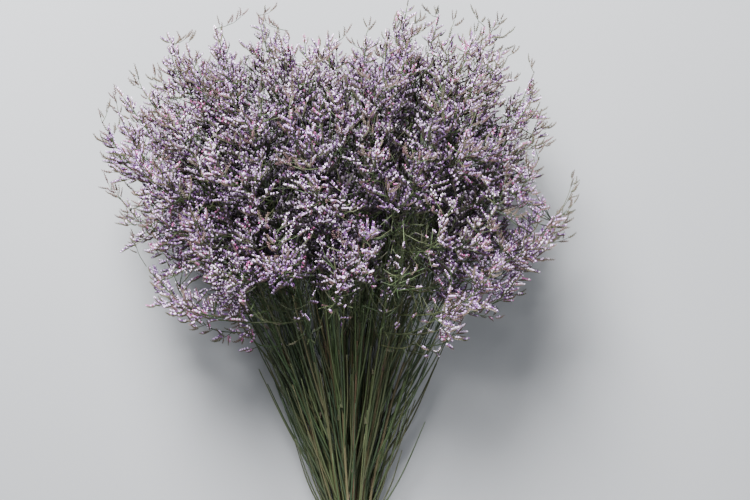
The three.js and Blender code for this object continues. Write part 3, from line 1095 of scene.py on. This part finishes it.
def add_scale_leaves(pile, stem, random):
    """Small pointed leaves along a stalk, up to a little below its first flowers."""
    y = SCALE_LEAF["first"] + 50 * random()
    while y < stem.branching - SCALE_LEAF["from_top"]:
        at = stem_point(stem.place, y)
        turn = 2 * math.pi * random()
        out = np.array([math.cos(turn), 0, math.sin(turn)])
        way = unit(UP + SCALE_LEAF["lean"] * out)
        leaf = Pile()
        add_bract(leaf, at + out * SCALE_LEAF["out"], way, SCALE_LEAF["size"] + 1.6 * random())
        points, faces, _, _ = leaf.arrays()
        pile.add(points, faces, lerp(SCALE_BROWN, TWIG_GREEN, random()), STALK_LEAF)
        y += SCALE_LEAF["spacing"] + 40 * random()


def stalk_pile(stem, seed):
    """The ribbed bare stalk, from its cut end to the first flowers, and what grows on it."""
    random = seeded(seed)
    ys = np.linspace(stem.cut, stem.branching - GAP, STALK["points"])
    line = np.array([stem_point(stem.place, y) for y in ys])
    sway = STALK["sway"] * np.sin(ys / STALK["sway_length"] + 6 * random())
    line[:, 0] += sway * np.clip((ys - 30) / 60, 0, 1)
    stops = [stem.cut, 0, stem.branching - GAP]
    radius = np.interp(ys, stops, list(STALK_RADIUS.values()))
    ribs = 1 + STALK["rib"] * np.cos(math.pi * np.arange(STALK["sides"]))
    skin, faces = tube(line, (radius * STALK["slim"])[:, None] * ribs[None], STALK["sides"])
    tone = lerp(TWIG_GREEN, TWIG_BROWN, random())
    share = (skin[:, 1:2] - stem.cut) / (stem.branching - stem.cut)
    tints = tone * (1.1 - 0.3 * share)
    tints[-2] = CUT_TINT
    pile = Pile()
    pile.add(skin, faces, tints, STALK_SKIN)
    add_shoots(pile, line, stem, random)
    add_scale_leaves(pile, stem, random)
    return pile


def band_pile():
    """An elastic band wound round the stems, with one turn across the others on top."""
    random = seeded(FINE_SEEDS["band"])
    pile = Pile()
    turns = BAND_TURN["count"]
    half = BAND["width"] / turns / 2
    angles = np.linspace(0, 2 * math.pi, 73)[:-1]
    section = 2 * math.pi * np.arange(8) / 8
    out = np.stack([np.cos(angles), 0 * angles, np.sin(angles)], -1)
    faces = wall_faces(len(angles), len(section), closed=True)
    for k in range(turns + 1):
        y = -BAND["width"] / 2 + half * (2 * k + 1)
        y = y + BAND_TURN["uneven"] * np.sin(angles + 6 * random())
        lift = 0.0
        if k == turns:
            y = BAND_TURN["crossing"] * BAND["width"] * np.sin(angles - 0.7)
            lift = BAND_TURN["lift"]
        rx = BAND["inner_x"] + BAND["thick"] / 2 + lift
        rz = BAND["inner_z"] + BAND["thick"] / 2 + lift
        x = MIDDLE_ASIDE + rx * np.cos(angles)
        middle = np.stack([x, y, BAND["middle_z"] + rz * np.sin(angles)], -1)
        rows = [
            middle + out * (BAND_TURN["half"] * math.cos(a)) + UP * (half * 0.97 * math.sin(a))
            for a in section
        ]
        pile.add(np.stack(rows, 1), faces, BAND_TINT * (0.9 + 0.2 * random()), 0)
    return pile


def new_material(name, roughness):
    """A plain material, its nodes and links, and its shader."""
    material = bpy.data.materials.new(name)
    material.use_nodes = True
    nodes = material.node_tree.nodes
    shader = nodes["Principled BSDF"]
    shader.inputs["Roughness"].default_value = roughness
    return material, nodes, material.node_tree.links, shader


def add_node(nodes, kind, inputs):
    """A node of a kind, with some of its inputs set."""
    node = nodes.new(kind)
    for name, value in inputs.items():
        node.inputs[name].default_value = value
    return node


def speckled(name, roughness, grain, spread, bump, stretch=(1, 1, 1)):
    """A material in the mesh's own tints, with lighter and darker specks and a grain."""
    material, nodes, links, shader = new_material(name, roughness)
    shader.inputs["Specular IOR Level"].default_value = 0.3
    coords = nodes.new("ShaderNodeTexCoord")
    mapping = add_node(nodes, "ShaderNodeMapping", {"Scale": stretch})
    links.new(coords.outputs["Object"], mapping.inputs["Vector"])
    tint = nodes.new("ShaderNodeAttribute")
    tint.attribute_name = "tint"
    specks = add_node(nodes, "ShaderNodeTexNoise", {"Scale": 1 / grain, "Detail": 3})
    links.new(mapping.outputs["Vector"], specks.inputs["Vector"])
    limits = {"From Min": 0.3, "From Max": 0.7, "To Min": 1 - spread, "To Max": 1 + spread}
    light = add_node(nodes, "ShaderNodeMapRange", limits)
    links.new(specks.outputs["Fac"], light.inputs["Value"])
    colour = nodes.new("ShaderNodeVectorMath")
    colour.operation = "SCALE"
    links.new(tint.outputs["Color"], colour.inputs[0])
    links.new(light.outputs["Result"], colour.inputs["Scale"])
    links.new(colour.outputs["Vector"], shader.inputs["Base Color"])
    relief = add_node(nodes, "ShaderNodeBump", {"Strength": bump, "Distance": 0.0004})
    links.new(specks.outputs["Fac"], relief.inputs["Height"])
    links.new(relief.outputs["Normal"], shader.inputs["Normal"])
    return material


def stand_in(piece, node):
    """Puts a fine piece in the place of a solid."""
    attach(piece, "root")
    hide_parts(node)


def dress_bunch(stems):
    """Replaces every solid by its fine piece. Returns the way to the solids' frame."""
    low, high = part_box("tie_band")
    middle = (low + high) / 2
    shift = np.array([middle.x / MM - MIDDLE_ASIDE, middle.y / MM, 0])
    petal = speckled("petal", roughness=0.85, grain=0.0012, spread=0.16, bump=0.3)
    scale = speckled("scale", roughness=0.8, grain=0.0008, spread=0.25, bump=0.4)
    twig = speckled("twig", 0.7, grain=0.0009, spread=0.3, bump=0.5, stretch=(1, 0.15, 1))
    rubber = speckled("rubber", roughness=0.55, grain=0.0016, spread=0.1, bump=0.2)
    shapes = make_shapes()
    sprays = [Spray(shapes, FINE_SEEDS["sprays"] + stem.i) for stem in stems]
    for spray, stem in zip(sprays, stems):
        spray.grow(stem)
    grow_evenly(sprays, FILL, Spray.fill)
    grow_evenly(sprays, SPRIG, Spray.sprig)
    for spray, stem in zip(sprays, stems):
        number = f"{stem.i + 1:02d}"
        flowers = spray.heap().piece("flowers_" + number, [petal, scale, twig], shift, TWIG)
        stalk = stalk_pile(stem, FINE_SEEDS["stalks"] + stem.i)
        stalk = stalk.piece("ribbed_stalk_" + number, [twig, scale], shift, STALK_SKIN)
        stand_in(flowers, "spray_" + number)
        stand_in(stalk, "stalk_" + number)
    stand_in(band_pile().piece("elastic_band", [rubber], shift, 0), "tie_band")
    return shift


def lay_floor():
    """A plain pale round floor, slightly uneven in tone."""
    bpy.ops.mesh.primitive_circle_add(radius=9, vertices=96, fill_type="NGON")
    floor = bpy.context.object
    floor.name = "floor"
    material, nodes, links, shader = new_material("pale_floor", roughness=0.9)
    coords = nodes.new("ShaderNodeTexCoord")
    clouds = add_node(nodes, "ShaderNodeTexNoise", {"Scale": 1.3})
    links.new(coords.outputs["Object"], clouds.inputs["Vector"])
    ramp = nodes.new("ShaderNodeValToRGB")
    ramp.color_ramp.elements[0].color = (*FLOOR_DARK, 1)
    ramp.color_ramp.elements[1].color = (*FLOOR_PALE, 1)
    links.new(clouds.outputs["Fac"], ramp.inputs["Fac"])
    links.new(ramp.outputs["Color"], shader.inputs["Base Color"])
    floor.data.materials.append(material)


def area_light(name, place, size, power, colour):
    """A round light that is aimed at the bunch."""
    data = bpy.data.lights.new(name, "AREA")
    data.shape = "DISK"
    data.size = size
    data.energy = power
    data.color = colour
    lamp = bpy.data.objects.new(name, data)
    lamp.location = place
    lamp.rotation_euler = (LIT_SPOT - Vector(place)).to_track_quat("-Z", "Y").to_euler()
    bpy.context.scene.collection.objects.link(lamp)


def light_scene():
    """Strong light from the crown's side, weak light from the stems' and a dim surround."""
    area_light("key", (-0.5, 1.9, 1.8), size=1.3, power=800, colour=(1, 0.99, 0.98))
    area_light("fill", (0.8, -1.4, 1.9), size=2.0, power=62, colour=(0.96, 0.98, 1))
    world = bpy.data.worlds.new("surround")
    world.use_nodes = True
    background = world.node_tree.nodes["Background"]
    background.inputs["Color"].default_value = SURROUND["colour"]
    background.inputs["Strength"].default_value = SURROUND["strength"]
    bpy.context.scene.world = world


def set_camera(shift):
    """Straight above the bunch, with the crown at the top of the picture."""
    data = bpy.data.cameras.new("camera")
    data.sensor_width = CAMERA_LENS * PICTURE_WIDTH / CAMERA_DISTANCE
    data.lens = CAMERA_LENS
    camera = bpy.data.objects.new("camera", data)
    middle = (PICTURE_MIDDLE + Vector(shift)) * MM
    camera.location = middle + Vector((0, 0, CAMERA_DISTANCE))
    camera.rotation_euler = Euler((0, 0, 0))
    bpy.context.scene.collection.objects.link(camera)
    bpy.context.scene.camera = camera


shift = dress_bunch(grow_bunch())
lay_floor()
light_scene()
set_camera(shift)
